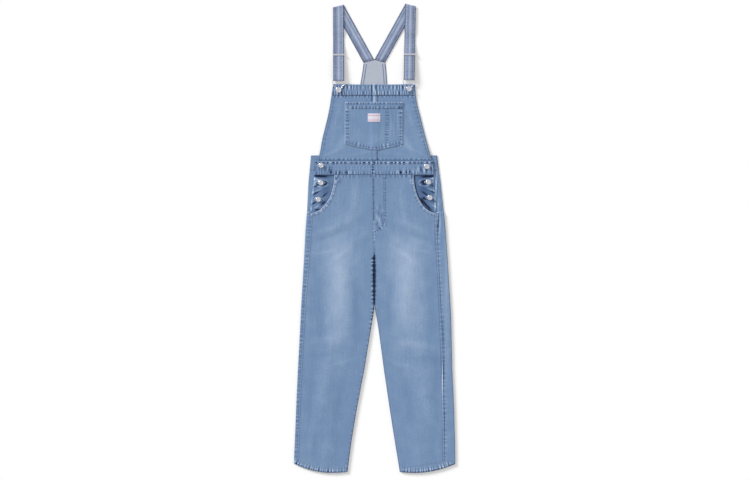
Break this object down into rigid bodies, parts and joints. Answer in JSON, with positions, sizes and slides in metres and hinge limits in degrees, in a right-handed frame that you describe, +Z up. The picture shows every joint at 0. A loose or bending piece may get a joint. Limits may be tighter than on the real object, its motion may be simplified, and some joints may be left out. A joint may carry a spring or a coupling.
{
  "type": "denim dungarees",
  "caption": "Washed denim dungarees laid flat and face up, with bib, pocket, side-button waist, and folded shoulder straps.",
  "frame": {"origin": "middle of the garment's footprint, on the surface that it lies on", "axes": "+Y from the hems to the tops of the straps, +X to the right of a viewer who looks down at the front, +Z up from the surface"},
  "size_m": [0.4834, 1.4062, 0.0096],
  "materials": {
    "denim": "washed light-blue denim, face side",
    "denim_inside": "washed denim, reverse side",
    "denim_strap": "washed denim strap, folded and edge-stitched",
    "metal": "polished nickel with a faint warm tone",
    "label": "off-white woven tape"
  },
  "bodies": {
    "root": {"front_leg_left": "denim", "front_leg_right": "denim", "back_leg_left": "denim", "back_leg_right": "denim", "hip_facing_left": "denim", "hip_facing_right": "denim", "fly": "denim", "waistband_left": "denim", "waistband_right": "denim", "back_waistband": "denim", "bib_left": "denim", "bib_right": "denim", "bib_hem": "denim", "bib_centre_strip": "denim", "bib_pocket": "denim", "pocket_label": "label", "back_bib": "denim_inside", "strap_left": "denim_strap", "strap_right": "denim_strap", "slider_left": "metal", "slider_right": "metal", "buckle_left": "metal", "buckle_right": "metal", "bib_button_left": "metal", "bib_button_right": "metal", "button_left_top": "metal", "button_left_middle": "metal", "button_left_low": "metal", "button_right_top": "metal", "button_right_middle": "metal", "button_right_low": "metal"}
  },
  "joints": []
}
